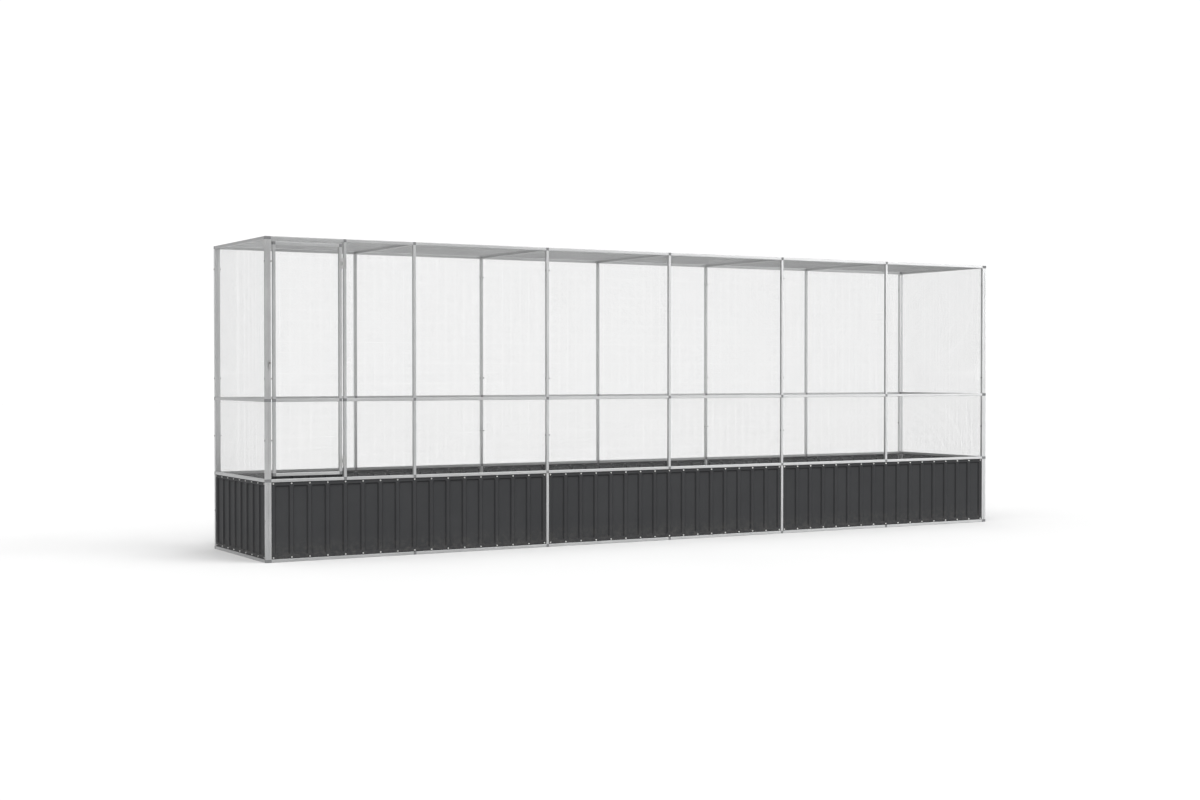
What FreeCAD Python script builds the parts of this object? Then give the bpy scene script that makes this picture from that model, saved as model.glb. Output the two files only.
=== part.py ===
import FreeCAD, Part
import os

# Free-standing steel aviary: square tubes plugged onto moulded connectors, welded mesh on the walls and roof,
# pressed sheets round the base, and a narrow mesh door with a turn button at the left of the front.
# Millimetres. X runs along the length, the front faces -Y, Z is up, the ground is z = 0.

doc = FreeCAD.newDocument("aviary")
sheet = doc.addObject("Spreadsheet::Sheet", "Sizes")
SIZES = [
    # square tubes and their connectors
    ("tube_side", 20.0),
    ("wall_gauge", 0.8),
    ("spigot_side", 18.0),
    ("spigot_reach", 35.0),
    # grid of the frame, centre to centre
    ("bay_pitch", 1020.0),
    ("depth_pitch", 1044.0),
    ("level_bottom", 10.0),
    ("level_base", 530.0),
    ("level_mid", 1050.0),
    ("level_top", 2100.0),
    ("y_shift", 4.5),
    # cut lengths of the tubes
    ("rail_long", 1000.0),
    ("rail_deep", 1024.0),
    ("rail_header", 500.0),
    ("rail_infill", 480.0),
    ("post_short", 500.0),
    ("post_tall", 1030.0),
    # door
    ("doorpost_off", 520.0),
    ("door_left_off", 32.0),
    ("door_right_off", 488.0),
    ("door_level_low", 569.0),
    ("door_level_top", 2067.0),
    ("door_rail", 436.0),
    ("door_stile_low", 461.0),
    ("door_stile_high", 997.0),
    # pressed base sheets
    ("sheet_long", 2016.0),
    ("sheet_end", 1020.0),
    ("sheet_high", 499.0),
    ("sheet_gauge", 0.8),
    ("sheet_lift", 20.5),
    ("sheet_recess", 6.0),
    ("sheet_gap", 2.0),
    ("rib_edge", 12.0),
    ("rib_pitch_long", 124.5),
    ("rib_pitch_end", 124.5),
    ("rib_crest", 22.0),
    ("pan_depth", 9.0),
    ("pan_flank", 8.0),
    ("pan_margin", 22.0),
    ("flank_skin", 1.07),
    # angles behind the sheets
    ("angle_gauge", 1.5),
    ("angle_leg", 20.0),
    ("angle_depth", 13.2),
    # self-tapping screws
    ("screw_low", 9.5),
    ("screw_high", 489.5),
    ("flange_r", 5.5),
    ("flange_thick", 1.2),
    ("screw_hex_r", 4.6),
    ("screw_hex_tall", 4.0),
    ("screw_shank_r", 1.9),
    ("screw_shank_long", 9.0),
    ("screw_hole_r", 2.25),
    # welded mesh, as a grid of bars
    ("mesh_thick", 1.8),
    ("mesh_bar", 2.8),
    ("mesh_bay", 1018.0),
    ("mesh_infill", 498.0),
    ("mesh_end", 1020.0),
    ("mesh_tall", 1562.0),
    ("mesh_foot", 527.0),
    ("mesh_door_wide", 472.0),
    ("mesh_door_tall", 1514.0),
    ("roof_bay", 1018.0),
    ("roof_end_bay", 1047.0),
    ("roof_deep", 1060.0),
    # bolts and nuts
    ("bolt_r", 3.0),
    ("bolt_hole_r", 3.4),
    ("bolt_head_r", 5.25),
    ("bolt_head_tall", 2.5),
    ("bolt_corner", 48.0),
    ("bolt_joint", 34.0),
    ("nut_r", 5.77),
    ("nut_tall", 5.0),
    ("nut_bore_r", 3.1),
    ("bolt_up_a", 130.0),
    ("bolt_up_b", 890.0),
    ("bolt_mid", 250.0),
    ("bolt_inset", 4.7),
    # hinges
    ("hinge_level_low", 647.0),
    ("hinge_level_high", 1949.0),
    ("hinge_half", 35.0),
    ("knuckle_half", 11.5),
    ("knuckle_gap", 0.3),
    ("barrel_r", 4.5),
    ("pin_r", 2.5),
    ("pin_bore_r", 2.55),
    ("pin_head_r", 3.8),
    ("pin_head_tall", 1.5),
    ("leaf_thick", 2.0),
    ("leaf_near", 7.0),
    ("leaf_wide", 18.0),
    ("hinge_axis_off", 504.0),
    ("rivet_pitch", 26.5),
    ("rivet_r", 2.0),
    ("rivet_hole_r", 2.2),
    ("rivet_head_r", 3.2),
    ("rivet_head_tall", 1.5),
    ("rivet_long", 4.5),
    # turn button that holds the door shut
    ("latch_level", 1292.0),
    ("button_wide", 16.0),
    ("button_arm", 36.0),
    ("button_thick", 3.0),
    ("button_bore_r", 3.06),
    ("latch_play", 0.3),
    ("washer_r", 6.5),
    ("washer_thick", 1.2),
    ("pivot_head_tall", 3.5),
    ("pivot_long", 33.0),
]
V = dict(SIZES)
for row, (alias, value) in enumerate(SIZES, start=1):
    sheet.set("A%d" % row, alias)
    sheet.set("B%d" % row, str(value))
    sheet.setAlias("B%d" % row, alias)
doc.recompute()

counter = [0]


def fresh(stem):
    counter[0] += 1
    return "%s_%04d" % (stem, counter[0])


def S(text):
    """Puts the sheet's name before every size in a formula written with bare names."""
    out, word = "", ""
    for ch in text + " ":
        if ch.isalnum() or ch == "_":
            word += ch
        else:
            out += ("Sizes." + word if word in V else word) + ch
            word = ""
    return out.strip()


def place(obj, x="0", y="0", z="0", turn=None):
    if turn is not None:
        axis, angle = turn
        obj.Placement = FreeCAD.Placement(FreeCAD.Vector(0, 0, 0), FreeCAD.Rotation(FreeCAD.Vector(*axis), angle))
    for name, formula in (("x", x), ("y", y), ("z", z)):
        if formula != "0":
            obj.setExpression("Placement.Base." + name, S(formula))
    return obj


def box(long, wide, tall, x="0", y="0", z="0"):
    b = doc.addObject("Part::Box", fresh("block"))
    b.setExpression("Length", S(long))
    b.setExpression("Width", S(wide))
    b.setExpression("Height", S(tall))
    return place(b, x, y, z)


def cylinder(radius, tall, x="0", y="0", z="0", turn=None):
    c = doc.addObject("Part::Cylinder", fresh("round"))
    c.setExpression("Radius", S(radius))
    c.setExpression("Height", S(tall))
    return place(c, x, y, z, turn)


def prism(sides, radius, tall, x="0", y="0", z="0", turn=None):
    p = doc.addObject("Part::Prism", fresh("prism"))
    p.Polygon = sides
    p.setExpression("Circumradius", S(radius))
    p.setExpression("Height", S(tall))
    return place(p, x, y, z, turn)


def fuse(pieces, stem="join"):
    f = doc.addObject("Part::MultiFuse", fresh(stem))
    f.Shapes = pieces
    f.Refine = True
    return f


def cut(base, tool, stem="cut"):
    c = doc.addObject("Part::Cut", fresh(stem))
    c.Base = base
    c.Tool = tool
    return c


def group(pieces, stem="group"):
    g = doc.addObject("Part::Compound", fresh(stem))
    g.Links = pieces
    return g


def copy(master, x="0", y="0", z="0", turn=None):
    return place(group([master], "copy"), x, y, z, turn)


NODES = []


def node(label, pieces, x="0", y="0", z="0", turn=None):
    n = doc.addObject("Part::Compound", "node_" + label)
    n.Links = pieces
    n.Label = label
    place(n, x, y, z, turn)
    NODES.append(n)
    return n


TO_FRONT = ((1, 0, 0), 90)  # +Z turned to -Y
TO_RIGHT = ((0, 1, 0), 90)  # +Z turned to +X
TO_LEFT = ((0, 1, 0), -90)  # +Z turned to -X
FACE_LEFT = ((0, 0, 1), -90)  # a panel that faces -Y turned to face -X
FACE_RIGHT = ((0, 0, 1), 90)
FACE_BACK = ((0, 0, 1), 180)
FLAT = ((1, 0, 0), -90)  # an upright panel laid flat

FRONT = "(y_shift - depth_pitch / 2)"
BACK = "(y_shift + depth_pitch / 2)"
HALF = "(tube_side / 2)"
END = "(3 * bay_pitch + tube_side)"  # centre line of an end frame


def post_x(k):
    return "((%d) * bay_pitch)" % (k - 3)


DOORPOST = "(doorpost_off - 3 * bay_pitch)"

# ---------------------------------------------------------------- tubes


def tube(along, length, holes=()):
    """A square tube on its own centre line, starting at 0, with any holes drilled through its wall."""
    side, bore = "tube_side", "(tube_side - 2 * wall_gauge)"
    lo, lob = "(-tube_side / 2)", "(wall_gauge - tube_side / 2)"
    over = "(%s + 2)" % length
    if along == "x":
        outer, inner = box(length, side, side, "0", lo, lo), box(over, bore, bore, "-1", lob, lob)
    elif along == "y":
        outer, inner = box(side, length, side, lo, "0", lo), box(bore, over, bore, lob, "-1", lob)
    else:
        outer, inner = box(side, side, length, lo, lo, "0"), box(bore, bore, over, lob, lob, "-1")
    tool = fuse([inner] + list(holes), "bore") if holes else inner
    return cut(outer, tool, "tube")


def cross_hole(level, y="0"):
    return cylinder("bolt_hole_r", "tube_side + 4", "-tube_side / 2 - 2", y, level, TO_RIGHT)


def face_hole(level, radius="rivet_hole_r"):
    return cylinder(radius, "4", "0", "2 - tube_side / 2", level, TO_FRONT)


def rivet_holes(level):
    return [face_hole("%s + (%d) * rivet_pitch" % (level, i)) for i in (-1, 0, 1)]


def upper_holes():
    return [cross_hole("bolt_up_a"), cross_hole("bolt_up_b")]


RAIL = tube("x", "rail_long")
RAIL_HEADER = tube("x", "rail_header")
RAIL_INFILL = tube("x", "rail_infill")
RAIL_DEEP = tube("y", "rail_deep")
POST_TALL = tube("z", "post_tall")
POST_TALL_BOLTED = tube("z", "post_tall", upper_holes())
POST_SHORT = tube("z", "post_short")
POST_SHORT_BOLTED = tube("z", "post_short", [cross_hole("bolt_mid")])
# the bolts of the base sit nearer the inner face, clear of the sheets' edges
BASE_INSET = {FRONT: "(bolt_inset)", BACK: "(-bolt_inset)"}
BASE_BOLTED = {y: tube("z", "post_short", [cross_hole("bolt_mid", inset)]) for y, inset in BASE_INSET.items()}
pivot_hole = cylinder("bolt_hole_r", "tube_side + 4", "0", "tube_side / 2 + 2", "latch_level - level_mid - tube_side / 2", TO_FRONT)
POST_LATCH = tube("z", "post_tall", upper_holes() + [pivot_hole])
DOORPOST_LOW = tube("z", "post_short", rivet_holes("hinge_level_low - level_base - tube_side / 2"))
DOORPOST_HIGH = tube("z", "post_tall", rivet_holes("hinge_level_high - level_mid - tube_side / 2"))

ABOVE = {"bottom": "level_bottom + tube_side / 2", "base": "level_base + tube_side / 2", "mid": "level_mid + tube_side / 2"}


def wall_posts(side, y):
    upper, lower = [], []
    for k in range(7):
        bolted = k % 2 == 0
        tall = POST_LATCH if side == "front" and k == 0 else POST_TALL_BOLTED if bolted else POST_TALL
        upper.append(copy(tall, post_x(k)))
        lower.append(copy(POST_SHORT_BOLTED if bolted else POST_SHORT, post_x(k)))
    base = [copy(BASE_BOLTED[y] if k in (0, 6) else POST_SHORT, post_x(k)) for k in (0, 2, 4, 6)]
    node(side + "_upper_posts", upper, "0", y, ABOVE["mid"])
    node(side + "_lower_posts", lower, "0", y, ABOVE["base"])
    node(side + "_base_posts", base, "0", y, ABOVE["bottom"])


def long_rails(first):
    return [copy(RAIL, post_x(k) + " + tube_side / 2") for k in range(first, 6)]


def header():
    return copy(RAIL_HEADER, post_x(0) + " + tube_side / 2")


def infill():
    return copy(RAIL_INFILL, DOORPOST + " + tube_side / 2")


wall_posts("front", FRONT)
node("door_post", [copy(DOORPOST_LOW, "0", "0", ABOVE["base"]), copy(DOORPOST_HIGH, "0", "0", ABOVE["mid"])], DOORPOST, FRONT)
node("front_top_rails", [header(), infill()] + long_rails(1), "0", FRONT, "level_top")
node("front_mid_rails", [infill()] + long_rails(1), "0", FRONT, "level_mid")
node("front_base_top_rails", [header(), infill()] + long_rails(1), "0", FRONT, "level_base")
node("front_bottom_rails", long_rails(0), "0", FRONT, "level_bottom")
wall_posts("back", BACK)
node("back_top_rails", long_rails(0), "0", BACK, "level_top")
node("back_mid_rails", long_rails(0), "0", BACK, "level_mid")
node("back_base_top_rails", long_rails(0), "0", BACK, "level_base")
node("back_bottom_rails", long_rails(0), "0", BACK, "level_bottom")
for side, sign in (("left", "-"), ("right", "")):
    stiles = []
    for y in (FRONT, BACK):
        stiles.append(copy(BASE_BOLTED[y], "0", y, ABOVE["bottom"]))
        stiles.append(copy(POST_SHORT_BOLTED, "0", y, ABOVE["base"]))
        stiles.append(copy(POST_TALL_BOLTED, "0", y, ABOVE["mid"]))
    node(side + "_end_stiles", stiles, sign + END)
    rails = [copy(RAIL_DEEP, "0", FRONT + " + tube_side / 2", z) for z in ("level_bottom", "level_base", "level_mid", "level_top")]
    node(side + "_end_rails", rails, sign + END)
node("roof_cross_bars", [copy(RAIL_DEEP, post_x(k)) for k in range(1, 6)], "0", FRONT + " + tube_side / 2", "level_top")

# ---------------------------------------------------------------- moulded connectors between the tubes

connectors = {}


def connector(ways):
    """A 20 mm block with a square spigot for each tube end that plugs onto it."""
    key = " ".join(sorted(ways))
    if key not in connectors:
        pieces = [box("tube_side", "tube_side", "tube_side", "-tube_side / 2", "-tube_side / 2", "-tube_side / 2")]
        lo = "(-spigot_side / 2)"
        for axis in "xyz":
            minus, plus = "-" + axis in ways, "+" + axis in ways
            if not minus and not plus:
                continue
            near = "(-tube_side / 2 - spigot_reach)" if minus else "0"
            reach = "(tube_side / 2 + spigot_reach)"
            length = "(2 * %s)" % reach if minus and plus else reach
            dims = {a: (length, near) if a == axis else ("spigot_side", lo) for a in "xyz"}
            pieces.append(box(dims["x"][0], dims["y"][0], dims["z"][0], dims["x"][1], dims["y"][1], dims["z"][1]))
        connectors[key] = fuse(pieces, "connector")
    return connectors[key]


LEVELS = ("bottom", "base", "mid", "top")


def wall_ways(side, k, level):
    ways = set()
    if k > 0:
        ways.add("-x")
    if k < 6 and not (side == "front" and k == 0 and level == "mid"):
        ways.add("+x")
    based = k % 2 == 0
    if level == "bottom" and based:
        ways.add("+z")
    if level == "base":
        ways.add("+z")
        if based:
            ways.add("-z")
    if level == "mid":
        ways |= {"-z", "+z"}
    if level == "top":
        ways.add("-z")
        if 0 < k < 6:
            ways.add("+y" if side == "front" else "-y")
    return ways


def wall_connectors(side):
    out = []
    for level in LEVELS:
        for k in range(7):
            out.append(copy(connector(wall_ways(side, k, level)), post_x(k), "0", "level_" + level))
    if side == "front":
        out.append(copy(connector({"-x", "+x", "+z"}), DOORPOST, "0", "level_base"))
        out.append(copy(connector({"+x", "-z", "+z"}), DOORPOST, "0", "level_mid"))
        out.append(copy(connector({"-x", "+x", "-z"}), DOORPOST, "0", "level_top"))
    return out


node("front_tube_connectors", wall_connectors("front"), "0", FRONT)
node("back_tube_connectors", wall_connectors("back"), "0", BACK)
for side, sign in (("left", "-"), ("right", "")):
    out = []
    for y, inward in ((FRONT, "+y"), (BACK, "-y")):
        for level in LEVELS:
            ways = {inward}
            if level != "bottom":
                ways.add("-z")
            if level != "top":
                ways.add("+z")
            out.append(copy(connector(ways), "0", y, "level_" + level))
    node(side + "_end_tube_connectors", out, sign + END)

# ---------------------------------------------------------------- pressed base sheets with their angles and screws


def pressed_sheet(length, pitch, pans):
    """A sheet that faces -Y, its front plane at y = 0, with a row of shallow pans pressed back into it."""
    slope = "(pan_flank / pan_depth)"
    plate = box(length, "sheet_gauge", "sheet_high")
    outers, inners = [plate], []
    for i in range(pans):
        mid = "(rib_edge + %s * %g)" % (pitch, i + 0.5)
        half = "((%s - rib_crest) / 2)" % pitch
        z_lo, z_hi = "pan_margin", "(sheet_high - pan_margin)"
        for skin, y_lo, y_hi, out in (("flank_skin", "0", "(pan_depth + sheet_gauge)", outers), ("0", "-0.9", "pan_depth", inners)):
            w = doc.addObject("Part::Wedge", fresh("pan"))
            for prop, formula in (
                ("Ymin", y_lo),
                ("Ymax", y_hi),
                ("Xmin", "%s - %s - %s + %s * %s" % (mid, half, skin, slope, y_lo)),
                ("Xmax", "%s + %s + %s - %s * %s" % (mid, half, skin, slope, y_lo)),
                ("X2min", "%s - %s - %s + %s * %s" % (mid, half, skin, slope, y_hi)),
                ("X2max", "%s + %s + %s - %s * %s" % (mid, half, skin, slope, y_hi)),
                ("Zmin", "%s - %s + %s * %s" % (z_lo, skin, slope, y_lo)),
                ("Zmax", "%s + %s - %s * %s" % (z_hi, skin, slope, y_lo)),
                ("Z2min", "%s - %s + %s * %s" % (z_lo, skin, slope, y_hi)),
                ("Z2max", "%s + %s - %s * %s" % (z_hi, skin, slope, y_hi)),
            ):
                w.setExpression(prop, S(formula))
            out.append(w)
    holes = []
    for i in range(pans + 1):
        for z in ("screw_low", "screw_high"):
            holes.append(prism(6, "screw_hole_r", "6", "rib_edge + %s * %d" % (pitch, i), "4", z, TO_FRONT))
    return cut(fuse(outers, "pressing"), group(inners + holes), "sheet")


def sheet_angles(length, pitch, pans):
    """The two angles that the sheet's top and bottom margins are screwed to."""
    back = "sheet_gauge"
    out = []
    for high in (False, True):
        z0 = "(sheet_high + 0.5 - angle_leg)" if high else "(-0.5)"
        web = "z0 - 1" if high else "z0 + angle_gauge"
        solid = box(length, "angle_depth", "angle_leg", "0", back, z0)
        void = box("%s + 2" % length, "angle_depth", "angle_leg", "-1", "sheet_gauge + angle_gauge", web.replace("z0", z0) if not high else "(%s - angle_gauge)" % z0)
        holes = [
            prism(6, "screw_hole_r", "6", "rib_edge + %s * %d" % (pitch, i), "5", "screw_high" if high else "screw_low", TO_FRONT)
            for i in range(pans + 1)
        ]
        out.append(cut(solid, fuse([void] + holes, "void"), "angle"))
    return group(out)


SCREW = fuse(
    [
        prism(8, "flange_r", "flange_thick"),
        prism(6, "screw_hex_r", "flange_thick + screw_hex_tall"),
        prism(6, "screw_shank_r", "screw_shank_long + 0.5", "0", "0", "-screw_shank_long"),
    ],
    "screw",
)


def sheet_screws(pitch, pans):
    out = []
    for i in range(pans + 1):
        for z in ("screw_low", "screw_high"):
            out.append(copy(SCREW, "rib_edge + %s * %d" % (pitch, i), "0", z, TO_FRONT))
    return group(out)


SHEET_LONG = pressed_sheet("sheet_long", "rib_pitch_long", 16)
SHEET_END = pressed_sheet("sheet_end", "rib_pitch_end", 8)
ANGLES_LONG = sheet_angles("sheet_long", "rib_pitch_long", 16)
ANGLES_END = sheet_angles("sheet_end", "rib_pitch_end", 8)
SCREWS_LONG = sheet_screws("rib_pitch_long", 16)
SCREWS_END = sheet_screws("rib_pitch_end", 8)

FRONT_PLANE = FRONT + " - tube_side / 2 + sheet_recess"
BACK_PLANE = BACK + " + tube_side / 2 - sheet_recess"
END_PLANE = "(" + END + " + tube_side / 2 - sheet_recess)"
names = ("left", "middle", "right")
front_angles, front_screws, back_angles, back_screws = [], [], [], []
for i, name in enumerate(names):
    at = (post_x(2 * i) + " + tube_side / 2 + sheet_gap", FRONT_PLANE, "sheet_lift")
    node("front_base_sheet_" + name, [copy(SHEET_LONG)], *at)
    front_angles.append(copy(ANGLES_LONG, *at))
    front_screws.append(copy(SCREWS_LONG, *at))
for i, name in enumerate(names):
    at = (post_x(2 * i + 2) + " - tube_side / 2 - sheet_gap", BACK_PLANE, "sheet_lift", FACE_BACK)
    node("back_base_sheet_" + name, [copy(SHEET_LONG)], *at)
    back_angles.append(copy(ANGLES_LONG, *at))
    back_screws.append(copy(SCREWS_LONG, *at))
left_at = ("-" + END_PLANE, BACK + " - tube_side / 2 - sheet_gap", "sheet_lift", FACE_LEFT)
right_at = (END_PLANE, FRONT + " + tube_side / 2 + sheet_gap", "sheet_lift", FACE_RIGHT)
node("left_end_base_sheet", [copy(SHEET_END)], *left_at)
node("right_end_base_sheet", [copy(SHEET_END)], *right_at)
node("front_sheet_angles", front_angles)
node("back_sheet_angles", back_angles)
node("end_sheet_angles", [copy(ANGLES_END, *left_at), copy(ANGLES_END, *right_at)])
node("front_sheet_screws", front_screws)
node("back_sheet_screws", back_screws)
node("end_sheet_screws", [copy(SCREWS_END, *left_at), copy(SCREWS_END, *right_at)])

# ---------------------------------------------------------------- mesh panels, one grid to each bay


def grid(wide, tall):
    """A flat grid of bars about 100 mm apart, with the weight of the fine welded mesh it stands for."""
    across, up = max(2, round(V[wide] / 100.0)), max(2, round(V[tall] / 100.0))
    bars = [box("mesh_bar", "mesh_thick", tall, "(%s - mesh_bar) * %d / %d" % (wide, i, across)) for i in range(across + 1)]
    bars += [box(wide, "mesh_thick", "mesh_bar", "0", "0", "(%s - mesh_bar) * %d / %d" % (tall, j, up)) for j in range(up + 1)]
    return fuse(bars, "mesh")


MESH_BAY = grid("mesh_bay", "mesh_tall")
MESH_INFILL = grid("mesh_infill", "mesh_tall")
MESH_END = grid("mesh_end", "mesh_tall")
MESH_DOOR = grid("mesh_door_wide", "mesh_door_tall")
ROOF_BAY = grid("roof_bay", "roof_deep")
ROOF_END_BAY = grid("roof_end_bay", "roof_deep")

node(
    "front_mesh",
    [copy(MESH_INFILL, DOORPOST + " + 1")] + [copy(MESH_BAY, post_x(k) + " + 1") for k in range(1, 6)],
    "0",
    FRONT + " + tube_side / 2",
    "mesh_foot",
)
node("back_mesh", [copy(MESH_BAY, post_x(k) + " + 1") for k in range(6)], "0", BACK + " - tube_side / 2 - mesh_thick", "mesh_foot")
node("left_end_mesh", [copy(MESH_END)], "tube_side / 2 - " + END, "y_shift + mesh_end / 2", "mesh_foot", FACE_LEFT)
node("right_end_mesh", [copy(MESH_END)], END + " - tube_side / 2", "y_shift - mesh_end / 2", "mesh_foot", FACE_RIGHT)
roof = [copy(ROOF_END_BAY, "1 - 3 * bay_pitch - (roof_end_bay - roof_bay)", "0", "0", FLAT)]
roof += [copy(ROOF_BAY, post_x(k) + " + 1", "0", "0", FLAT) for k in range(1, 5)]
roof += [copy(ROOF_END_BAY, post_x(5) + " + 1", "0", "0", FLAT)]
node("roof_mesh", roof, "0", "y_shift - roof_deep / 2", "level_top + tube_side / 2 + mesh_thick")

# ---------------------------------------------------------------- bolts and nuts

NUT = cut(prism(6, "nut_r", "nut_tall"), cylinder("nut_bore_r", "nut_tall + 2", "0", "0", "-1"), "nut")


def bolt(length):
    return fuse([cylinder("bolt_head_r", "bolt_head_tall"), cylinder("bolt_r", length + " + 1", "0", "0", "-" + length)], "bolt")


BOLT_CORNER = bolt("bolt_corner")
BOLT_JOINT = bolt("bolt_joint")
corner_bolts, joint_bolts, nuts = [], [], []
HIGHS = ("level_mid + tube_side / 2 + bolt_up_a", "level_mid + tube_side / 2 + bolt_up_b", "level_base + tube_side / 2 + bolt_mid")
FOOT_HIGH = "level_bottom + tube_side / 2 + bolt_mid"
for y in (FRONT, BACK):
    for z in HIGHS + (FOOT_HIGH,):
        at_y = y + " + " + BASE_INSET[y] if z == FOOT_HIGH else y
        corner_bolts.append(copy(BOLT_CORNER, "-" + END + " - tube_side / 2", at_y, z, TO_LEFT))
        nuts.append(copy(NUT, post_x(0) + " + tube_side / 2", at_y, z, TO_RIGHT))
        corner_bolts.append(copy(BOLT_CORNER, END + " + tube_side / 2", at_y, z, TO_RIGHT))
        nuts.append(copy(NUT, post_x(6) + " - tube_side / 2", at_y, z, TO_LEFT))
    for k in (2, 4):
        for z in HIGHS:
            joint_bolts.append(copy(BOLT_JOINT, post_x(k) + " - tube_side / 2", y, z, TO_LEFT))
            nuts.append(copy(NUT, post_x(k) + " + tube_side / 2", y, z, TO_RIGHT))
node("corner_bolts", corner_bolts)
node("joint_bolts", joint_bolts)
node("bolt_nuts", nuts)

# ---------------------------------------------------------------- door

DOOR_LEFT = "(door_left_off - 3 * bay_pitch)"  # centre line of the latch stile
DOOR_RIGHT = "(door_right_off - 3 * bay_pitch)"  # centre line of the hinge stile
STILE_LOW = tube("z", "door_stile_low")
STILE_HIGH = tube("z", "door_stile_high")
HINGE_STILE_LOW = tube("z", "door_stile_low", rivet_holes("hinge_level_low - door_level_low - tube_side / 2"))
HINGE_STILE_HIGH = tube("z", "door_stile_high", rivet_holes("hinge_level_high - level_mid - tube_side / 2"))
DOOR_RAIL = tube("x", "door_rail")
low, high = "door_level_low + tube_side / 2", "level_mid + tube_side / 2"
node(
    "door_stiles",
    [
        copy(STILE_LOW, DOOR_LEFT, "0", low),
        copy(STILE_HIGH, DOOR_LEFT, "0", high),
        copy(HINGE_STILE_LOW, DOOR_RIGHT, "0", low),
        copy(HINGE_STILE_HIGH, DOOR_RIGHT, "0", high),
    ],
    "0",
    FRONT,
)
node("door_rails", [copy(DOOR_RAIL, "0", "0", z) for z in ("door_level_low", "level_mid", "door_level_top")], DOOR_LEFT + " + tube_side / 2", FRONT)
door_connectors = []
for x, inward in ((DOOR_LEFT, "+x"), (DOOR_RIGHT, "-x")):
    door_connectors.append(copy(connector({inward, "+z"}), x, "0", "door_level_low"))
    door_connectors.append(copy(connector({inward, "-z", "+z"}), x, "0", "level_mid"))
    door_connectors.append(copy(connector({inward, "-z"}), x, "0", "door_level_top"))
node("door_tube_connectors", door_connectors, "0", FRONT)
node("door_mesh", [copy(MESH_DOOR)], DOOR_LEFT + " - tube_side / 2 + 2", FRONT + " + tube_side / 2", "door_level_low - tube_side / 2 + 2")

# Butt hinges: leaves on the front faces of the door post and the hinge stile, barrel in front of the gap.
AXIS_X = "(hinge_axis_off - 3 * bay_pitch)"
AXIS_Y = FRONT + " - tube_side / 2 - barrel_r"
leaf_y = "barrel_r - leaf_thick"
knuckle = "(hinge_half - knuckle_half - knuckle_gap)"


def leaf(frame_side):
    holes = [cylinder("rivet_hole_r", "leaf_thick + 2", "leaf_near + leaf_wide / 2", "barrel_r + 1", "(%d) * rivet_pitch" % i, TO_FRONT) for i in (-1, 0, 1)]
    pieces = [box("leaf_wide", "leaf_thick", "2 * hinge_half", "leaf_near", leaf_y, "-hinge_half")]
    spans = [("-hinge_half", knuckle), ("knuckle_half + knuckle_gap", knuckle)] if frame_side else [("-knuckle_half", "2 * knuckle_half")]
    for z, tall in spans:
        pieces.append(box("leaf_near + 1", "leaf_thick", tall, "0", leaf_y, z))
        pieces.append(cylinder("barrel_r", tall, "0", "0", z))
    bore = cylinder("pin_bore_r", "2 * hinge_half + 4", "0", "0", "-hinge_half - 2")
    return cut(fuse(pieces), fuse([bore] + holes), "leaf")


LEAF_FRAME = leaf(True)
LEAF_DOOR_RIGHT = leaf(False)
LEAF_DOOR = doc.addObject("Part::Mirroring", fresh("leaf"))
LEAF_DOOR.Source = LEAF_DOOR_RIGHT
LEAF_DOOR.Base = FreeCAD.Vector(0, 0, 0)
LEAF_DOOR.Normal = FreeCAD.Vector(1, 0, 0)
PIN = fuse(
    [
        cylinder("pin_r", "2 * hinge_half + 1", "0", "0", "-hinge_half - 0.5"),
        cylinder("pin_head_r", "pin_head_tall", "0", "0", "hinge_half + 0.2"),
        cylinder("pin_head_r", "pin_head_tall", "0", "0", "-hinge_half - 0.2 - pin_head_tall"),
    ],
    "pin",
)
RIVET = fuse([cylinder("rivet_head_r", "rivet_head_tall"), cylinder("rivet_r", "rivet_long + 0.5", "0", "0", "-rivet_long")], "rivet")
HINGE_LEVELS = ("hinge_level_low", "hinge_level_high")


def rivets(sign):
    out = []
    for z in HINGE_LEVELS:
        for i in (-1, 0, 1):
            out.append(copy(RIVET, "%s(leaf_near + leaf_wide / 2)" % sign, leaf_y, "%s + (%d) * rivet_pitch" % (z, i), TO_FRONT))
    return out


at = (AXIS_X, AXIS_Y, "0")
node("hinge_frame_leaves", [copy(LEAF_FRAME, "0", "0", z) for z in HINGE_LEVELS], *at)
node("hinge_door_leaves", [copy(LEAF_DOOR, "0", "0", z) for z in HINGE_LEVELS], *at)
node("hinge_pins", [copy(PIN, "0", "0", z) for z in HINGE_LEVELS], *at)
node("hinge_frame_rivets", rivets(""), *at)
node("hinge_door_rivets", rivets("-"), *at)

# Turn button on the corner post, stored hanging down, clear of the door.
FACE = FRONT + " - tube_side / 2"
button = fuse(
    [
        box("button_wide", "button_thick", "button_arm", "-button_wide / 2", "-button_thick", "-button_arm"),
        cylinder("button_wide / 2", "button_thick", "0", "0", "0", TO_FRONT),
        cylinder("button_wide / 2", "button_thick", "0", "0", "-button_arm", TO_FRONT),
    ]
)
BUTTON = cut(button, cylinder("button_bore_r", "button_thick + 2", "0", "1", "0", TO_FRONT), "button")
node("latch_turn_button", [copy(BUTTON)], post_x(0), FACE + " - washer_thick - latch_play", "latch_level")
PIVOT = fuse([prism(6, "nut_r", "pivot_head_tall"), cylinder("bolt_r", "pivot_long + 1", "0", "0", "-pivot_long")], "pivot")
node("latch_pivot_bolt", [copy(PIVOT, "0", "0", "0", TO_FRONT)], post_x(0), FACE + " - washer_thick - 2 * latch_play - button_thick", "latch_level")
WASHER = cut(cylinder("washer_r", "washer_thick"), cylinder("nut_bore_r", "washer_thick + 2", "0", "0", "-1"), "washer")
node("latch_spacer_washer", [copy(WASHER, "0", "0", "0", TO_FRONT)], post_x(0), FACE, "latch_level")
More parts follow.
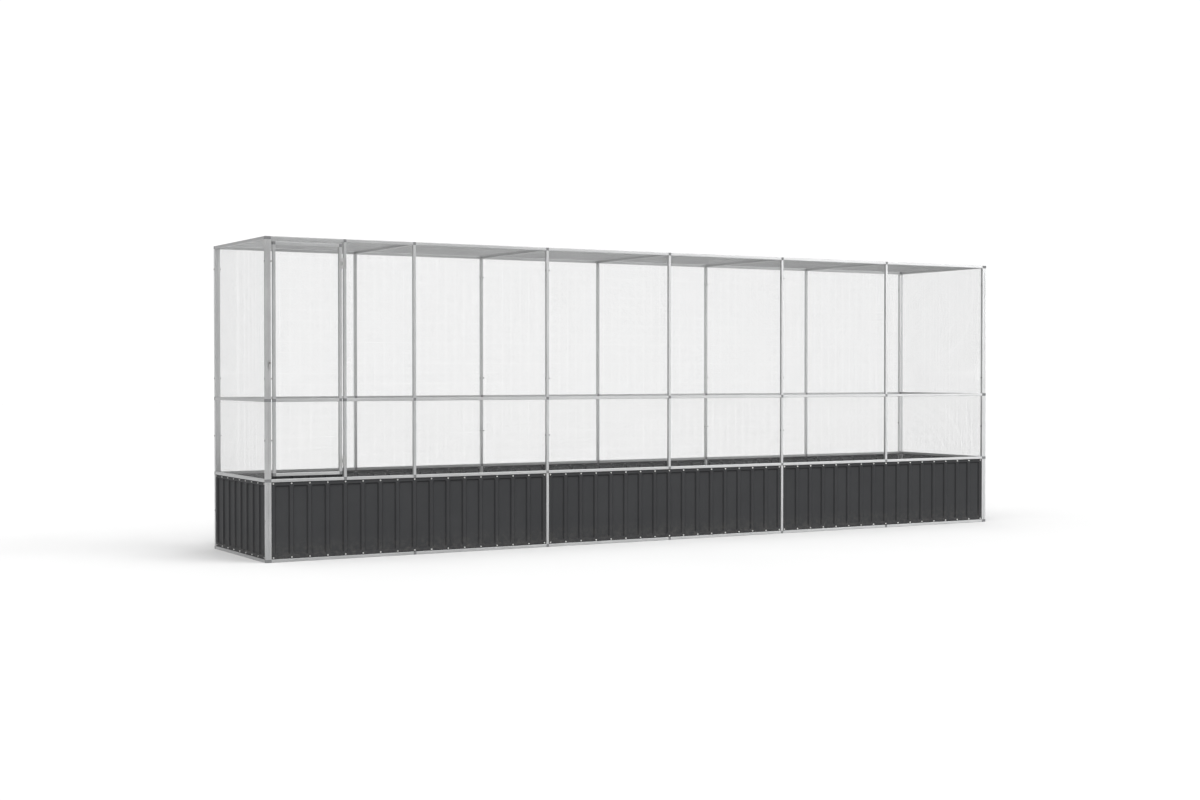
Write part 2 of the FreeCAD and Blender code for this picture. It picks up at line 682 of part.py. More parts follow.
node("latch_pivot_nut", [copy(NUT, "0", "nut_tall", "0", TO_FRONT)], post_x(0), FRONT + " + tube_side / 2", "latch_level")

# ---------------------------------------------------------------- recompute, check, write

doc.recompute()
bad = []
for obj in doc.Objects:
    if "Invalid" in obj.State or "Error" in obj.State:
        bad.append(obj.Name + " " + ",".join(obj.State))
    elif hasattr(obj, "Shape") and obj.Shape.isNull():
        bad.append(obj.Name + " empty")
for n in NODES:
    if not n.Shape.isValid():
        bad.append(n.Label + " not valid")
    if not n.Shape.Solids:
        bad.append(n.Label + " has no solid")
if bad:
    raise RuntimeError("; ".join(bad[:20]))
if len(NODES) > 60:
    raise RuntimeError("too many nodes: %d" % len(NODES))

os.makedirs("parts", exist_ok=True)
for n in NODES:
    n.Shape.exportStep("parts/%s.step" % n.Label)
print("nodes", len(NODES), "solids", sum(len(n.Shape.Solids) for n in NODES))
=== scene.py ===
import math

import bpy
import numpy as np
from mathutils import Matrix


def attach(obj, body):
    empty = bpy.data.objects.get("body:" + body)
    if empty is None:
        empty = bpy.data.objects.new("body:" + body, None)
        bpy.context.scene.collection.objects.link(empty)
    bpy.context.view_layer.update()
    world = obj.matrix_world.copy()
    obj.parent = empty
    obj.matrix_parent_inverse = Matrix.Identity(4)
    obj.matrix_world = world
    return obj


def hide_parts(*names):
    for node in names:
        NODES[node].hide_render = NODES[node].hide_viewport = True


# Looks of the aviary: rolled tubes with rounded corners, pressed sheets with soft bends, real mesh wires,
# and materials for galvanised steel, painted sheet, moulded connectors and zinc fasteners. Metres.

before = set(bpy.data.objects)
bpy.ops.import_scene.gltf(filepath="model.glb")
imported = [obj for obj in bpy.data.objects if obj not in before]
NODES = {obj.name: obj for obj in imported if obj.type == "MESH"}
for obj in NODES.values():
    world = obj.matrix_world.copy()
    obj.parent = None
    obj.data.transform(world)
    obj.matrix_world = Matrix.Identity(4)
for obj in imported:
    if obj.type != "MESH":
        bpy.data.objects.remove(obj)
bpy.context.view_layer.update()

# ---------------------------------------------------------------- sizes, as in the solids

SHIFT = 0.0045
PITCH = 1.020
DEEP = 1.024
FRONT, BACK = SHIFT - DEEP / 2 - 0.010, SHIFT + DEEP / 2 + 0.010
END = 3 * PITCH + 0.020
Z_BOTTOM, Z_BASE, Z_MID, Z_TOP = 0.010, 0.530, 1.050, 2.100
DOORPOST = 0.520 - 3 * PITCH
DOOR_L, DOOR_R = 0.032 - 3 * PITCH, 0.488 - 3 * PITCH
DOOR_LOW, DOOR_TOP = 0.569, 2.067
SIDE, WALL = 0.020, 0.0008


def post_x(k):
    return (k - 3) * PITCH


# ---------------------------------------------------------------- node helpers for materials


class Tree:
    def __init__(self, name):
        self.mat = bpy.data.materials.new(name)
        self.mat.use_nodes = True
        self.nt = self.mat.node_tree
        self.bsdf = self.nt.nodes["Principled BSDF"]
        self.coord = self.nt.nodes.new("ShaderNodeTexCoord").outputs["Object"]

    def node(self, kind, **props):
        n = self.nt.nodes.new(kind)
        for key, value in props.items():
            setattr(n, key, value)
        return n

    def link(self, a, b):
        self.nt.links.new(a, b)

    def feed(self, node, values):
        for key, value in values.items():
            if isinstance(value, bpy.types.NodeSocket):
                self.link(value, node.inputs[key])
            else:
                node.inputs[key].default_value = value

    def scaled(self, scale):
        m = self.node("ShaderNodeMapping")
        self.link(self.coord, m.inputs["Vector"])
        m.inputs["Scale"].default_value = scale
        return m.outputs["Vector"]

    def noise(self, scale, detail=3.0, rough=0.5, vector=None):
        n = self.node("ShaderNodeTexNoise")
        self.feed(n, {"Scale": scale, "Detail": detail, "Roughness": rough, "Vector": vector or self.coord})
        return n.outputs["Fac"]

    def cells(self, scale, vector=None, feature="F1", output="Color"):
        n = self.node("ShaderNodeTexVoronoi", feature=feature)
        self.feed(n, {"Scale": scale, "Vector": vector or self.coord})
        return n.outputs[output]

    def ramp(self, value, low, high, out_low, out_high):
        n = self.node("ShaderNodeMapRange")
        self.feed(n, {"Value": value, "From Min": low, "From Max": high, "To Min": out_low, "To Max": out_high})
        return n.outputs["Result"]

    def maths(self, kind, a, b=0.0):
        n = self.node("ShaderNodeMath", operation=kind)
        self.feed(n, {0: a, 1: b})
        return n.outputs[0]

    def mix(self, factor, a, b, blend="MIX"):
        n = self.node("ShaderNodeMix", data_type="RGBA", blend_type=blend)
        for key, value in ((0, factor), (6, a), (7, b)):
            if isinstance(value, bpy.types.NodeSocket):
                self.link(value, n.inputs[key])
            else:
                n.inputs[key].default_value = value if key == 0 else (*value, 1.0)
        return n.outputs[2]

    def grey(self, colour):
        n = self.node("ShaderNodeSeparateColor")
        self.link(colour, n.inputs[0])
        return n.outputs[0]

    def bump(self, height, distance, strength=1.0, below=None):
        n = self.node("ShaderNodeBump")
        self.feed(n, {"Height": height, "Distance": distance, "Strength": strength})
        if below is not None:
            self.link(below, n.inputs["Normal"])
        return n.outputs["Normal"]

    def axis(self, letter):
        n = self.node("ShaderNodeSeparateXYZ")
        self.link(self.coord, n.inputs[0])
        return n.outputs["XYZ".index(letter)]


def galvanised(name, light, dark, cell, low_rough, high_rough, dull=0.0, along=None):
    """Zinc: flat crystals of slightly different brightness and gloss, a milky film, fine pitting and, on rolled
    tube, faint lines along its length."""
    t = Tree(name)
    crystal = t.grey(t.cells(1.0 / cell))
    film = t.noise(5.0, 5.0, 0.62)
    streak = t.noise(1.0, 4.0, 0.6, t.scaled((90.0, 90.0, 7.0)))
    tone = t.mix(t.ramp(crystal, 0.0, 1.0, 0.15, 0.85), dark, light)
    milky = tuple(0.7 * c + 0.3 * 0.72 for c in light)
    tone = t.mix(t.ramp(film, 0.45, 0.75, 0.0, 0.5), tone, milky)
    tone = t.mix(t.ramp(streak, 0.52, 0.82, 0.0, 0.10 + dull), tone, tuple(0.8 * c for c in dark))
    rough = t.maths("ADD", t.ramp(crystal, 0.0, 1.0, low_rough, high_rough), t.ramp(film, 0.3, 0.8, -0.02, 0.05))
    pit = t.maths("ADD", t.noise(700.0, 2.0), t.maths("MULTIPLY", t.noise(60.0, 2.0), 0.6))
    if along:
        lines = t.noise(1.0, 3.0, 0.65, t.scaled(tuple(5.0 if letter == along else 620.0 for letter in "xyz")))
        tone = t.mix(t.ramp(lines, 0.42, 0.70, 0.0, 0.30), tone, tuple(0.78 * c for c in dark))
        tone = t.mix(t.ramp(lines, 0.42, 0.28, 0.0, 0.25), tone, milky)
        rough = t.maths("ADD", rough, t.ramp(lines, 0.3, 0.7, -0.03, 0.03))
        pit = t.maths("ADD", pit, t.maths("MULTIPLY", lines, 1.5))
    t.link(tone, t.bsdf.inputs["Base Color"])
    t.link(rough, t.bsdf.inputs["Roughness"])
    t.link(t.bump(pit, 0.00004, 0.05), t.bsdf.inputs["Normal"])
    t.bsdf.inputs["Metallic"].default_value = 1.0
    return t.mat


def painted_sheet(name):
    """Coil-coated steel: fine-grained dark paint, faint cloudiness, a little dust low down, dry rain marks and
    painted shade darkening the bends.
    """
    t = Tree(name)
    cloud = t.noise(3.0, 4.0, 0.6)
    grain = t.noise(1400.0, 2.0, 0.6)
    runs = t.noise(1.0, 4.0, 0.6, t.scaled((55.0, 55.0, 2.2)))
    base = t.mix(t.ramp(cloud, 0.3, 0.7, 0.0, 1.0), (0.0325, 0.0331, 0.0346), (0.0390, 0.0397, 0.0412))
    base = t.mix(t.ramp(grain, 0.35, 0.7, 0.0, 0.35), base, (0.047, 0.048, 0.050))
    base = t.mix(t.ramp(runs, 0.56, 0.82, 0.0, 0.22), base, (0.052, 0.052, 0.053))
    flat = t.node("ShaderNodeSeparateXYZ")  # painted shade: the bends and flanks of the pans, where the surface turns sideways, get darker paint
    t.link(t.node("ShaderNodeNewGeometry").outputs["Normal"], flat.inputs[0])
    level = t.maths("MAXIMUM", t.maths("ABSOLUTE", flat.outputs["X"]), t.maths("ABSOLUTE", flat.outputs["Y"]))
    base = t.mix(t.ramp(level, 0.72, 0.98, 0.45, 0.0), base, (0.014, 0.014, 0.015))
    low = t.maths("MULTIPLY", t.ramp(t.axis("Z"), 0.02, 0.16, 1.0, 0.0), t.ramp(t.noise(38.0, 5.0, 0.65), 0.42, 0.72, 0.0, 0.40))
    base = t.mix(low, base, (0.110, 0.104, 0.096))
    t.link(base, t.bsdf.inputs["Base Color"])
    rough = t.maths("ADD", t.ramp(cloud, 0.3, 0.7, 0.42, 0.52), t.ramp(runs, 0.5, 0.85, 0.0, 0.10))
    t.link(rough, t.bsdf.inputs["Roughness"])
    peel = t.noise(420.0, 2.0)
    n1 = t.bump(peel, 0.00006, 0.35)
    t.link(t.bump(grain, 0.00003, 0.4, n1), t.bsdf.inputs["Normal"])
    t.bsdf.inputs["Metallic"].default_value = 0.0
    t.bsdf.inputs["Specular IOR Level"].default_value = 0.04
    return t.mat


def moulding(name):
    """Injection-moulded grey polymer with an eroded-tool texture and slight chalking."""
    t = Tree(name)
    cloud = t.noise(35.0, 4.0, 0.6)
    grit = t.noise(1600.0, 3.0, 0.65)
    base = t.mix(t.ramp(cloud, 0.3, 0.7, 0.0, 1.0), (0.112, 0.114, 0.117), (0.145, 0.147, 0.150))
    base = t.mix(t.ramp(grit, 0.4, 0.75, 0.0, 0.45), base, (0.185, 0.187, 0.189))
    t.link(base, t.bsdf.inputs["Base Color"])
    t.link(t.ramp(grit, 0.3, 0.7, 0.50, 0.68), t.bsdf.inputs["Roughness"])
    t.link(t.bump(grit, 0.00007, 0.6), t.bsdf.inputs["Normal"])
    t.bsdf.inputs["Metallic"].default_value = 0.0
    return t.mat


TUBE = {
    letter: galvanised("galvanised_tube_" + letter, (0.462, 0.465, 0.468), (0.428, 0.431, 0.434), 0.008, 0.37, 0.40, along=letter)
    for letter in "xyz"
}
# painted light: lighter copies of the tube steel for the back wall and, lighter still, its left corner, making up
# for the shade the mesh casts on them
BACK_TUBE_PAINTED_LIGHT = galvanised("galvanised_tube_back_painted_light", (0.535, 0.538, 0.541), (0.495, 0.498, 0.501), 0.008, 0.37, 0.40, along="z")
CORNER_TUBE_PAINTED_LIGHT = galvanised("galvanised_tube_corner_painted_light", (0.630, 0.633, 0.636), (0.585, 0.588, 0.591), 0.008, 0.37, 0.40, along="z")
WIRE = galvanised("galvanised_wire", (0.340, 0.343, 0.344), (0.290, 0.293, 0.295), 0.006, 0.34, 0.44)
# painted light: a lighter copy of the wire for the left end mesh, standing in for more light falling on that end
WIRE_PAINTED_LIGHT = galvanised("galvanised_wire_painted_light", (0.580, 0.583, 0.584), (0.500, 0.503, 0.505), 0.006, 0.34, 0.44)
DARK = galvanised("dark_zinc_bolt", (0.165, 0.163, 0.160), (0.105, 0.104, 0.102), 0.002, 0.34, 0.48)
ZINC = galvanised("zinc_fastener", (0.72, 0.715, 0.70), (0.56, 0.56, 0.55), 0.002, 0.26, 0.38)
HINGE = galvanised("zinc_hinge", (0.45, 0.45, 0.446), (0.35, 0.35, 0.346), 0.004, 0.32, 0.46, 0.1)
PAINT = painted_sheet("anthracite_sheet")
MOULD = moulding("grey_moulding")

# ---------------------------------------------------------------- mesh building


class Build:
    """Collects vertices and faces of many separate closed pieces and makes one object of them."""

    def __init__(self):
        self.verts, self.faces, self.n = [], [], 0

    def add(self, verts, faces):
        self.verts.append(np.asarray(verts, dtype=float))
        self.faces += [tuple(i + self.n for i in f) for f in faces]
        self.n += len(verts)

    def make(self, name, material, body, slot, replaces=(), smooth_deg=40.0, weighted=True):
        mesh = bpy.data.meshes.new(name)
        mesh.from_pydata(np.concatenate(self.verts).tolist(), [], self.faces)
        mesh.materials.append(material)
        mesh.polygons.foreach_set("use_smooth", [True] * len(mesh.polygons))
        mesh.set_sharp_from_angle(angle=math.radians(smooth_deg))
        mesh.update()
        obj = bpy.data.objects.new(name, mesh)
        bpy.context.scene.collection.objects.link(obj)
        if weighted:
            w = obj.modifiers.new("weighted", "WEIGHTED_NORMAL")
            w.keep_sharp = True
        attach(obj, body)
        if replaces:
            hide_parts(*replaces)
        return obj


def rounded_square(side, radius, steps):
    half = side / 2 - radius
    out = []
    for cx, cy, start in ((half, half, 0), (-half, half, 90), (-half, -half, 180), (half, -half, 270)):
        for i in range(steps + 1):
            a = math.radians(start + 90.0 * i / steps)
            out.append((cx + radius * math.cos(a), cy + radius * math.sin(a)))
    return out


OUTER = rounded_square(SIDE, 0.0020, 4)
INNER = rounded_square(SIDE - 2 * WALL, 0.0012, 4)


def spot(axis, along, u, v):
    return {"x": (along, u, v), "y": (v, along, u), "z": (u, v, along)}[axis]


def add_tube(build, axis, start, length):
    """A cut length of square tube: rounded corners outside and inside, faint burr-free edges, open ends."""
    n = len(OUTER)
    chamfer = 0.0003
    rings = []
    for t, profile, grow in (
        (0.0, OUTER, -chamfer),
        (chamfer, OUTER, 0.0),
        (length - chamfer, OUTER, 0.0),
        (length, OUTER, -chamfer),
        (length, INNER, 0.0),
        (0.0, INNER, 0.0),
    ):
        ring = []
        for u, v in profile:
            k = 1.0 + grow / (SIDE / 2)
            p = spot(axis, t, u * k, v * k)
            ring.append((start[0] + p[0], start[1] + p[1], start[2] + p[2]))
        rings.append(ring)
    verts = [p for ring in rings for p in ring]
    faces = []
    for r in range(len(rings)):
        s = (r + 1) % len(rings)
        for i in range(n):
            j = (i + 1) % n
            faces.append((r * n + i, r * n + j, s * n + j, s * n + i))
    build.add(verts, faces)


def tubes(name, pieces, body="frame", material=None, corner=()):
    """The tubes of one node; those numbered in corner take the lightest copy of the tube steel, painted light."""
    b = Build()
    for axis, start, length in pieces:
        add_tube(b, axis, start, length)
    obj = b.make(name + "_rolled", material or TUBE[pieces[0][0]], body, "tube_steel", (name,))
    # painted light: the corner pieces take the lightest copy of the tube steel
    if corner:
        obj.data.materials.append(CORNER_TUBE_PAINTED_LIGHT)
        each = len(obj.data.polygons) // len(pieces)
        obj.data.polygons.foreach_set("material_index", [int(f // each in corner) for f in range(len(obj.data.polygons))])


def rails(y, z, first, extra=()):
    out = [("x", (x, y, z), length) for x, length in extra]
    return out + [("x", (post_x(k) + 0.010, y, z), 1.0) for k in range(first, 6)]


header, infill = (post_x(0) + 0.010, 0.500), (DOORPOST + 0.010, 0.480)
tubes("front_top_rails", rails(FRONT, Z_TOP, 1, (header, infill)))
tubes("front_mid_rails", rails(FRONT, Z_MID, 1, (infill,)))
tubes("front_base_top_rails", rails(FRONT, Z_BASE, 1, (header, infill)))
tubes("front_bottom_rails", rails(FRONT, Z_BOTTOM, 0))
for name, z in (("top", Z_TOP), ("mid", Z_MID), ("base_top", Z_BASE), ("bottom", Z_BOTTOM)):
    tubes("back_%s_rails" % name, rails(BACK, z, 0))
for side, y in (("front", FRONT), ("back", BACK)):
    # painted light: the back wall's tubes take the lighter copies of the tube steel
    lit_copy = {"material": BACK_TUBE_PAINTED_LIGHT, "corner": (0,)} if side == "back" else {}
    tubes(side + "_upper_posts", [("z", (post_x(k), y, Z_MID + 0.010), 1.030) for k in range(7)], **lit_copy)
    tubes(side + "_lower_posts", [("z", (post_x(k), y, Z_BASE + 0.010), 0.500) for k in range(7)], **lit_copy)
    tubes(side + "_base_posts", [("z", (post_x(k), y, Z_BOTTOM + 0.010), 0.500) for k in (0, 2, 4, 6)])
tubes("door_post", [("z", (DOORPOST, FRONT, Z_BASE + 0.010), 0.500), ("z", (DOORPOST, FRONT, Z_MID + 0.010), 1.030)])
for side, x in (("left", -END), ("right", END)):
    stiles = []
    for y in (FRONT, BACK):
        stiles += [("z", (x, y, Z_BOTTOM + 0.010), 0.500), ("z", (x, y, Z_BASE + 0.010), 0.500), ("z", (x, y, Z_MID + 0.010), 1.030)]
    tubes(side + "_end_stiles", stiles, corner=(4, 5) if side == "left" else ())
    tubes(side + "_end_rails", [("y", (x, FRONT + 0.010, z), DEEP) for z in (Z_BOTTOM, Z_BASE, Z_MID, Z_TOP)])
tubes("roof_cross_bars", [("y", (post_x(k), FRONT + 0.010, Z_TOP), DEEP) for k in range(1, 6)])
tubes(
    "door_stiles",
    [("z", (x, FRONT, DOOR_LOW + 0.010), 0.461) for x in (DOOR_L, DOOR_R)] + [("z", (x, FRONT, Z_MID + 0.010), 0.997) for x in (DOOR_L, DOOR_R)],
    "door",
)
tubes("door_rails", [("x", (DOOR_L + 0.010, FRONT, z), 0.436) for z in (DOOR_LOW, Z_MID, DOOR_TOP)], "door")

# ---------------------------------------------------------------- pressed base sheets

SHEET_H, GAUGE, LIFT, RECESS, GAP = 0.499, 0.0008, 0.0205, 0.006, 0.002
RIB_EDGE, CREST, PAN_D, FLANK, MARGIN, CORNER, BEND = 0.012, 0.022, 0.009, 0.008, 0.022, 0.012, 0.0032


def soft_ramp(s, w):
    return np.where(s <= -w / 2, 0.0, np.where(s >= w / 2, s, (s + w / 2) ** 2 / (2 * w)))


def pan_depth(inside):
    return PAN_D / FLANK * (soft_ramp(inside, BEND) - soft_ramp(inside - FLANK, BEND))


def sheet_piece(name, length, pitch, pans, place, node):
    steps = [-0.0016, -0.0008, 0.0, 0.0008, 0.0016, 0.0032, 0.0048, 0.0064, 0.0072, 0.0080, 0.0088, 0.0096, 0.0120, 0.0160]
    half_x, half_z = (pitch - CREST) / 2, SHEET_H / 2 - MARGIN
    xs, zs = {0.0, length}, {0.0, SHEET_H}
    centres = [RIB_EDGE + pitch * (i + 0.5) for i in range(pans)]
    for c in centres:
        for s in steps:
            xs |= {c - half_x + s, c + half_x - s}
        xs |= {c}
    for s in steps:
        zs |= {MARGIN + s, SHEET_H - MARGIN - s}
    zs |= {SHEET_H * f for f in (0.2, 0.35, 0.5, 0.65, 0.8)}
    xs, zs = np.array(sorted(xs)), np.array(sorted(zs))
    gx, gz = np.meshgrid(xs, zs, indexing="ij")
    depth = np.zeros_like(gx)
    for c in centres:
        qx = np.abs(gx - c) - (half_x - CORNER)
        qz = np.abs(gz - SHEET_H / 2) - (half_z - CORNER)
        outside = np.hypot(np.maximum(qx, 0), np.maximum(qz, 0)) + np.minimum(np.maximum(qx, qz), 0) - CORNER
        depth = np.maximum(depth, pan_depth(-outside))
    nx, nz = len(xs), len(zs)
    # both skins, the back one moved along the surface's normal by the sheet's thickness
    ddx = np.gradient(depth, xs, axis=0)
    ddz = np.gradient(depth, zs, axis=1)
    norm = np.sqrt(1 + ddx**2 + ddz**2)
    front = np.stack([gx, depth, gz], -1).reshape(-1, 3)
    back = np.stack([gx - GAUGE * ddx / norm, depth + GAUGE / norm, gz - GAUGE * ddz / norm], -1).reshape(-1, 3)
    local = np.concatenate([front, back])
    faces = []
    o = nx * nz
    for i in range(nx - 1):
        for j in range(nz - 1):
            a, b, c, d = i * nz + j, (i + 1) * nz + j, (i + 1) * nz + j + 1, i * nz + j + 1
            faces.append((a, b, c, d))
            faces.append((o + d, o + c, o + b, o + a))
    for i in range(nx - 1):
        a, b = i * nz, (i + 1) * nz
        faces.append((a, o + a, o + b, b))
        a, b = i * nz + nz - 1, (i + 1) * nz + nz - 1
        faces.append((b, o + b, o + a, a))
    for j in range(nz - 1):
        a, b = j, j + 1
        faces.append((b, o + b, o + a, a))
        a, b = (nx - 1) * nz + j, (nx - 1) * nz + j + 1
        faces.append((a, o + a, o + b, b))
    b = Build()
    b.add(place(local), faces)
    b.make(name, PAINT, "frame", "sheet_paint", (node,), 50.0)


def facing(turn, x, y):
    c, s = {"front": (1, 0), "back": (-1, 0), "left": (0, -1), "right": (0, 1)}[turn]

    def place(p):
        return np.stack([x + c * p[:, 0] - s * p[:, 1], y + s * p[:, 0] + c * p[:, 1], LIFT + p[:, 2]], -1)

    return place


for i, part in enumerate(("left", "middle", "right")):
    at = facing("front", post_x(2 * i) + 0.010 + GAP, FRONT - 0.010 + RECESS)
    sheet_piece("front_base_pressing_" + part, 2.016, 0.1245, 16, at, "front_base_sheet_" + part)
    at = facing("back", post_x(2 * i + 2) - 0.010 - GAP, BACK + 0.010 - RECESS)
    sheet_piece("back_base_pressing_" + part, 2.016, 0.1245, 16, at, "back_base_sheet_" + part)
sheet_piece("left_end_base_pressing", 1.020, 0.1245, 8, facing("left", -(END + 0.010 - RECESS), BACK - 0.010 - GAP), "left_end_base_sheet")
sheet_piece("right_end_base_pressing", 1.020, 0.1245, 8, facing("right", END + 0.010 - RECESS, FRONT + 0.010 + GAP), "right_end_base_sheet")

# ---------------------------------------------------------------- welded mesh, wire by wire

WIRE_D, WIRE_PITCH = 0.0005, 0.0065
HEX = [(math.cos(math.radians(a)), math.sin(math.radians(a))) for a in range(0, 360, 60)]


def add_wire(build, start, end, u, v):
    """One straight drawn wire between two points; u and v span its section."""
    start, end, u, v = (np.array(p, dtype=float) for p in (start, end, u, v))
    r = WIRE_D / 2
    ring = [u * r * c + v * r * s for c, s in HEX]
    verts = [start + p for p in ring] + [end + p for p in ring]
    faces = [(i, (i + 1) % 6, 6 + (i + 1) % 6, 6 + i) for i in range(6)]
    faces += [(5, 4, 3, 2, 1, 0), (6, 7, 8, 9, 10, 11)]
    build.add(verts, faces)


def weave(build, origin, across, up, out, wide, tall):
    """A panel of welded mesh: upright wires next to the tubes, cross wires welded behind them."""
    origin, across, up, out = (np.array(p, dtype=float) for p in (origin, across, up, out))
    r = WIRE_D / 2
    columns, rows = max(1, round((wide - WIRE_D) / WIRE_PITCH)), max(1, round((tall - WIRE_D) / WIRE_PITCH))
    for i in range(columns + 1):
        p = origin + across * (r + (wide - WIRE_D) * i / columns) + out * r
        add_wire(build, p, p + up * tall, across, out)
    for j in range(rows + 1):
        p = origin + up * (r + (tall - WIRE_D) * j / rows) + out * (r + 0.85 * WIRE_D)
        add_wire(build, p, p + across * wide, out, up)


def mesh_piece(node, panels, body="frame", material=WIRE):
    b = Build()
    for panel in panels:
        weave(b, *panel)
    b.make(node + "_wires", material, body, "mesh_wire", (node,), 75.0, False)


FOOT, TALL = 0.527, 1.562
X, Y, Z = (1, 0, 0), (0, 1, 0), (0, 0, 1)
NX, NY, NZ = (-1, 0, 0), (0, -1, 0), (0, 0, -1)
panels = [((DOORPOST + 0.001, FRONT + 0.010, FOOT), X, Z, Y, 0.498, TALL)]
panels += [((post_x(k) + 0.001, FRONT + 0.010, FOOT), X, Z, Y, 1.018, TALL) for k in range(1, 6)]
mesh_piece("front_mesh", panels)
mesh_piece("back_mesh", [((post_x(k) + 0.001, BACK - 0.010, FOOT), X, Z, NY, 1.018, TALL) for k in range(6)])
# the left end's wires take the lighter copy of the wire: painted light
mesh_piece("left_end_mesh", [((-END + 0.010, SHIFT + 0.510, FOOT), NY, Z, X, 1.020, TALL)], material=WIRE_PAINTED_LIGHT)
mesh_piece("right_end_mesh", [((END - 0.010, SHIFT - 0.510, FOOT), Y, Z, NX, 1.020, TALL)])
roof = [((post_x(0) + 0.001 - 0.029, SHIFT - 0.530, 2.110), X, Y, Z, 1.047, 1.060)]
roof += [((post_x(k) + 0.001, SHIFT - 0.530, 2.110), X, Y, Z, 1.018, 1.060) for k in range(1, 5)]
roof += [((post_x(5) + 0.001, SHIFT - 0.530, 2.110), X, Y, Z, 1.047, 1.060)]
mesh_piece("roof_mesh", roof)
mesh_piece("door_mesh", [((DOOR_L - 0.010 + 0.002, FRONT + 0.010, DOOR_LOW - 0.010 + 0.002), X, Z, Y, 0.472, 1.514)], "door")

# ---------------------------------------------------------------- solids that stay as they are, with softened edges


def dress(names, material, bevel, segments=2):
    for name in names:
        obj = NODES[name]
        obj.data.materials.clear()
        obj.data.materials.append(material)
        if bevel:
            m = obj.modifiers.new("edge", "BEVEL")
            m.width = bevel
            m.segments = segments
            m.limit_method = "ANGLE"
            m.angle_limit = math.radians(40)
            m.harden_normals = False


dress(["front_tube_connectors", "back_tube_connectors", "left_end_tube_connectors", "right_end_tube_connectors", "door_tube_connectors"], MOULD, 0.0009)
dress(["front_sheet_angles", "back_sheet_angles", "end_sheet_angles"], PAINT, 0.0)
dress(["front_sheet_screws", "back_sheet_screws", "end_sheet_screws"], ZINC, 0.0003)
dress(["corner_bolts", "joint_bolts", "bolt_nuts"], DARK, 0.0003)
dress(["latch_pivot_bolt"], DARK, 0.0003)
dress(["latch_pivot_nut", "latch_spacer_washer"], ZINC, 0.0003)
dress(["hinge_frame_rivets", "hinge_door_rivets", "hinge_pins"], HINGE, 0.0003)
dress(["hinge_frame_leaves", "hinge_door_leaves", "latch_turn_button"], HINGE, 0.0003)

# ---------------------------------------------------------------- floor, light and camera

mesh = bpy.data.meshes.new("floor")
mesh.from_pydata([(-60, -60, 0), (60, -60, 0), (60, 60, 0), (-60, 60, 0)], [], [(0, 1, 2, 3)])
floor = bpy.data.objects.new("floor", mesh)
bpy.context.scene.collection.objects.link(floor)
t = Tree("pale_floor")
t.link(t.mix(t.ramp(t.noise(0.6, 3.0), 0.3, 0.7, 0.0, 1.0), (0.600, 0.600, 0.600), (0.615, 0.615, 0.615)), t.bsdf.inputs["Base Color"])
t.bsdf.inputs["Roughness"].default_value = 0.9
t.bsdf.inputs["Specular IOR Level"].default_value = 0.0
mesh.materials.append(t.mat)
floor.location.z = -0.0005

world = bpy.data.worlds.new("studio")
bpy.context.scene.world = world
world.use_nodes = True
nt = world.node_tree
nt.nodes.clear()
coord = nt.nodes.new("ShaderNodeTexCoord")
split = nt.nodes.new("ShaderNodeSeparateXYZ")
nt.links.new(coord.outputs["Generated"], split.inputs[0])
bearing = nt.nodes.new("ShaderNodeMath")
bearing.operation = "ARCTAN2"
nt.links.new(split.outputs["X"], bearing.inputs[0])
nt.links.new(split.outputs["Y"], bearing.inputs[1])
unit = nt.nodes.new("ShaderNodeMapRange")
nt.links.new(bearing.outputs[0], unit.inputs["Value"])
for key, value in (("From Min", -math.pi), ("From Max", math.pi), ("To Min", 0.0), ("To Max", 1.0)):
    unit.inputs[key].default_value = value
ramp = nt.nodes.new("ShaderNodeValToRGB")
nt.links.new(unit.outputs["Result"], ramp.inputs["Fac"])
ramp.color_ramp.interpolation = "B_SPLINE"
# brightness of the studio wall by bearing in degrees: 0 behind the object, 90 to its right, 180 in front
STUDIO = [(-180, 0.02), (-165, 0.02), (-140, 0.25), (-110, 1.05), (-80, 1.15), (-55, 0.42), (-38, 0.22), (-24, 0.22), (-10, 0.40), (4, 0.53), (30, 0.53)]
STUDIO += [(80, 0.53), (95, 0.50), (108, 0.45), (120, 0.40), (130, 0.90), (138, 4.20), (146, 0.35), (154, 0.02), (162, 0.02), (180, 0.02)]
OVERHEAD, KEY = 0.50, 1.78
STRIP = max(value for _, value in STUDIO)  # the ramp holds values up to 1
elements = ramp.color_ramp.elements
while len(elements) > 1:
    elements.remove(elements[-1])
for i, (deg, value) in enumerate(STUDIO):
    e = elements[0] if i == 0 else elements.new((deg + 180) / 360.0)
    e.position = (deg + 180) / 360.0
    e.color = (value / STRIP, value / STRIP, value / STRIP, 1.0)


def smooth(value, low, high, out_low=0.0, out_high=1.0):
    n = nt.nodes.new("ShaderNodeMapRange")
    n.interpolation_type = "SMOOTHSTEP"
    nt.links.new(value, n.inputs["Value"])
    for key, v in (("From Min", low), ("From Max", high), ("To Min", out_low), ("To Max", out_high)):
        n.inputs[key].default_value = v
    return n.outputs["Result"]


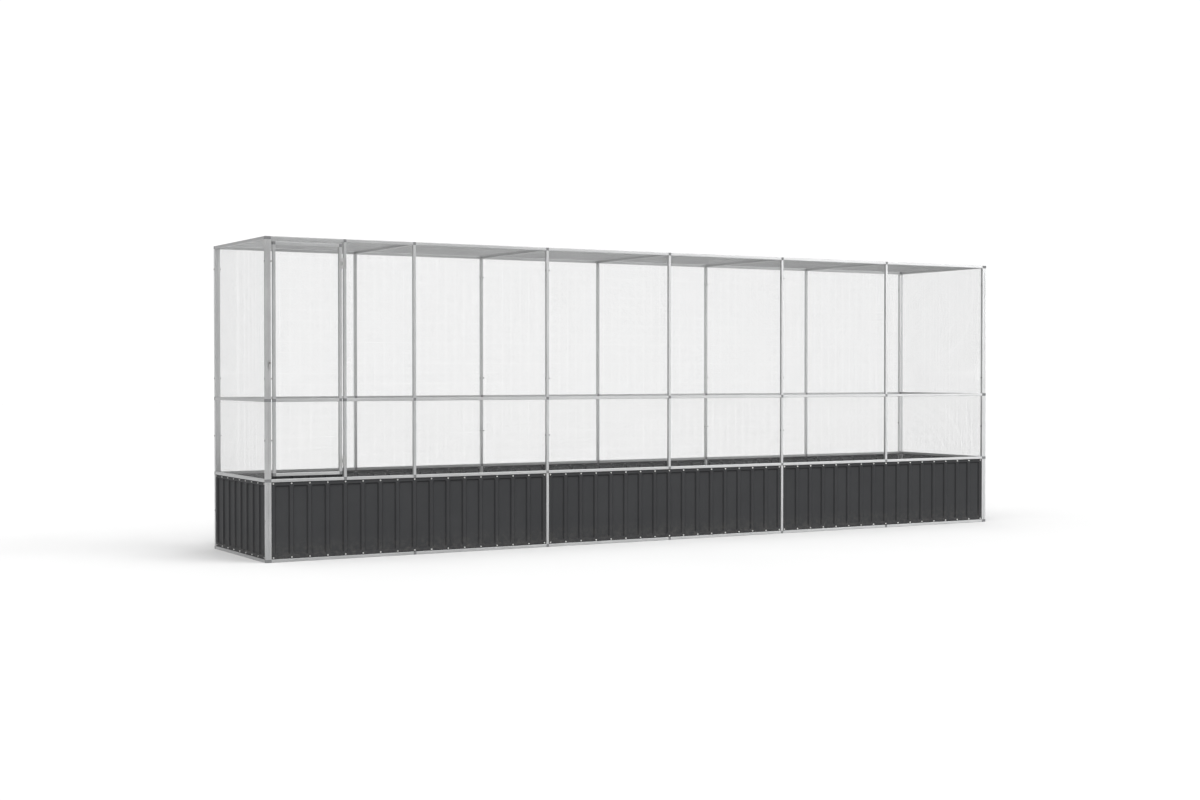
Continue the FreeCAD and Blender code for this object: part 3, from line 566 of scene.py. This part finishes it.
# above the walls a large soft light, brighter towards the front
blend = nt.nodes.new("ShaderNodeMix")
blend.data_type = "RGBA"
nt.links.new(smooth(split.outputs["Z"], 0.42, 0.70), blend.inputs[0])
lift = nt.nodes.new("ShaderNodeVectorMath")
lift.operation = "SCALE"
nt.links.new(ramp.outputs["Color"], lift.inputs[0])
lift.inputs["Scale"].default_value = STRIP
nt.links.new(lift.outputs["Vector"], blend.inputs[6])
toward = nt.nodes.new("ShaderNodeVectorMath")  # how far a direction leans to the front, a little to the right
toward.operation = "DOT_PRODUCT"
nt.links.new(coord.outputs["Generated"], toward.inputs[0])
toward.inputs[1].default_value = (0.12, -0.993, 0.0)
nt.links.new(smooth(toward.outputs["Value"], 0.05, 0.55, OVERHEAD, OVERHEAD + KEY), blend.inputs[7])
back = nt.nodes.new("ShaderNodeBackground")
back.inputs["Strength"].default_value = 2.0
nt.links.new(blend.outputs[2], back.inputs["Color"])
# what is seen directly behind the object is one plain pale backdrop on all sides
plain = nt.nodes.new("ShaderNodeBackground")
plain.inputs["Color"].default_value = (1.0, 1.0, 1.0, 1.0)
plain.inputs["Strength"].default_value = 1.06
seen = nt.nodes.new("ShaderNodeMixShader")
nt.links.new(nt.nodes.new("ShaderNodeLightPath").outputs["Is Camera Ray"], seen.inputs[0])
nt.links.new(back.outputs[0], seen.inputs[1])
nt.links.new(plain.outputs[0], seen.inputs[2])
out = nt.nodes.new("ShaderNodeOutputWorld")
nt.links.new(seen.outputs[0], out.inputs[0])

scene = bpy.context.scene
scene.view_settings.view_transform = "Standard"
scene.view_settings.look = "None"
scene.view_settings.exposure = 0.0

data = bpy.data.cameras.new("camera")
data.sensor_width = 36.0
data.sensor_fit = "HORIZONTAL"
data.lens = 51.663
data.clip_end = 200.0
camera = bpy.data.objects.new("camera", data)
camera.location = (-6.8100, -11.2080 + SHIFT, 1.2273)
camera.rotation_euler = (math.pi / 2 - 0.01567, 0.0, -math.radians(30.2123))
scene.collection.objects.link(camera)
scene.camera = camera
